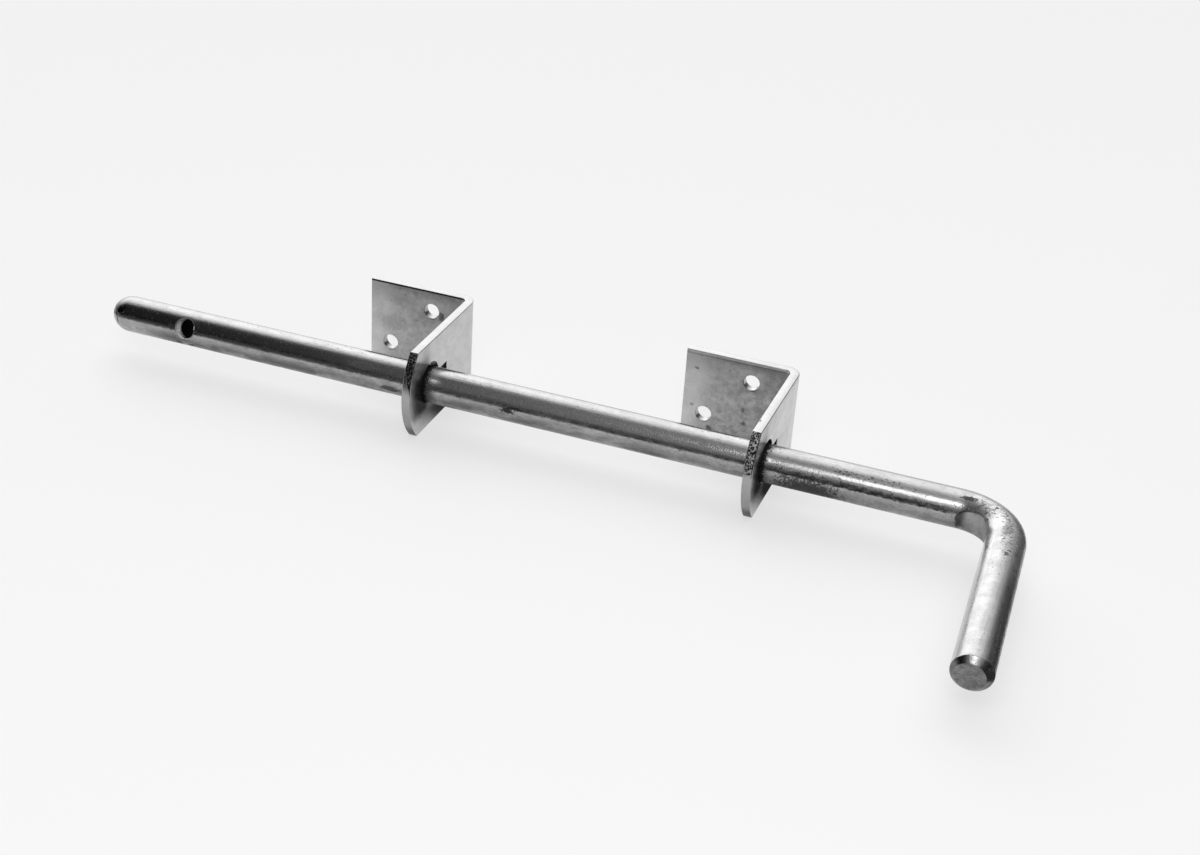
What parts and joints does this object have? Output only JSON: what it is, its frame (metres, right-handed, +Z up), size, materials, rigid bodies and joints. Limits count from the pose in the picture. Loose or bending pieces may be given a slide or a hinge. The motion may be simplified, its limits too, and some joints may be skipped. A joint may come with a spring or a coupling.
{
  "type": "gate drop bolt",
  "caption": "Round bar drop bolt with a bent handle and a cross hole, sliding in folded, keyhole-punched screw-on brackets.",
  "frame": {"origin": "middle of the handle bracket's two screw holes, on the gate face", "axes": "+X along the bar towards the handle, +Y into the gate, +Z up, across the strip's width; the bolt lies level, as pictured"},
  "size_m": [0.4182, 0.1609, 0.0396],
  "materials": {
    "plated_bar": "bright zinc-plated drawn bar, fine streaks and dark specks",
    "plated_strip": "zinc-plated sheared strip, mottled, rough cut edges"
  },
  "bodies": {
    "brackets": {"handle_bracket": "plated_strip", "tip_bracket": "plated_strip"},
    "bolt": {"drop_bolt": "plated_bar"}
  },
  "joints": [
    {"name": "bolt_slide", "type": "slide", "parent": "brackets", "child": "bolt", "axis": [1, 0, 0], "range_m": [-0.084, 0.149]}
  ]
}
